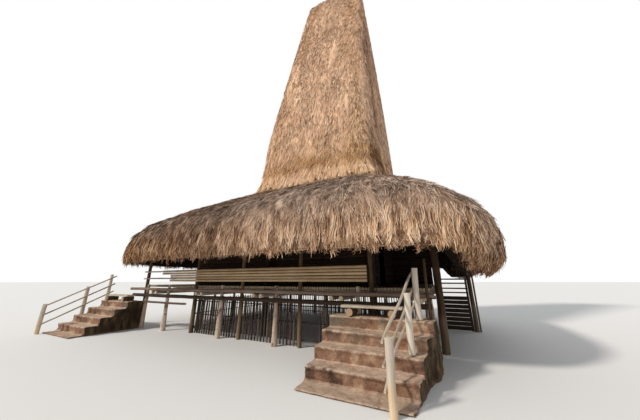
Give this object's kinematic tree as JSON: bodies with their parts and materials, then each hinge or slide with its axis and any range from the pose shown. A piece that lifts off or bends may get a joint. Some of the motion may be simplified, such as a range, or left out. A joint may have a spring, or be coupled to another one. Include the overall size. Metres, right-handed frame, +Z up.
{
  "type": "stilt house",
  "caption": "Stilt house with a tall peaked thatch tower on a low thatch skirt, bamboo floor and parapet, slatted pen below and two stone stairs.",
  "frame": {"origin": "centre of the house's outline on the ground it stands on", "axes": "+X to the right seen from the front, +Y into the house, +Z up"},
  "size_m": [12.23, 9.1764, 15.3698],
  "materials": {
    "thatch": "matt",
    "bamboo": "satin",
    "pole": "matt",
    "dark_wood": "matt",
    "slats": "matt",
    "rubble": "rough"
  },
  "bodies": {
    "root": {"tower_thatch": "thatch", "skirt_thatch": "thatch", "ridge_roll": "thatch", "tower_poles": "dark_wood", "ridge_frame": "dark_wood", "ring_beam": "dark_wood", "rafters_front": "dark_wood", "rafters_back": "dark_wood", "rafters_left": "dark_wood", "rafters_right": "dark_wood", "eave_hoop": "dark_wood", "main_posts": "dark_wood", "front_posts": "dark_wood", "back_posts": "dark_wood", "side_posts": "dark_wood", "plates": "dark_wood", "stilts_front": "pole", "stilts_middle": "pole", "stilts_back": "pole", "floor_beams": "dark_wood", "floor_joists": "pole", "front_pole": "pole", "floor_bearers": "pole", "bamboo_floor": "bamboo", "wall_front": "dark_wood", "wall_back": "dark_wood", "wall_left": "dark_wood", "wall_right": "dark_wood", "parapet_front": "bamboo", "parapet_back": "bamboo", "bay_rails": "pole", "slat_wall_front": "slats", "slat_wall_back": "slats", "slat_wall_left": "slats", "slat_wall_right": "slats", "side_screen": "dark_wood", "stair_right": "rubble", "stair_left": "rubble", "plank_steps": "pole", "step_logs": "pole", "low_poles": "pole", "rail_posts_right": "pole", "rails_right": "pole", "rail_posts_left": "pole", "rails_left": "pole"}
  },
  "joints": []
}
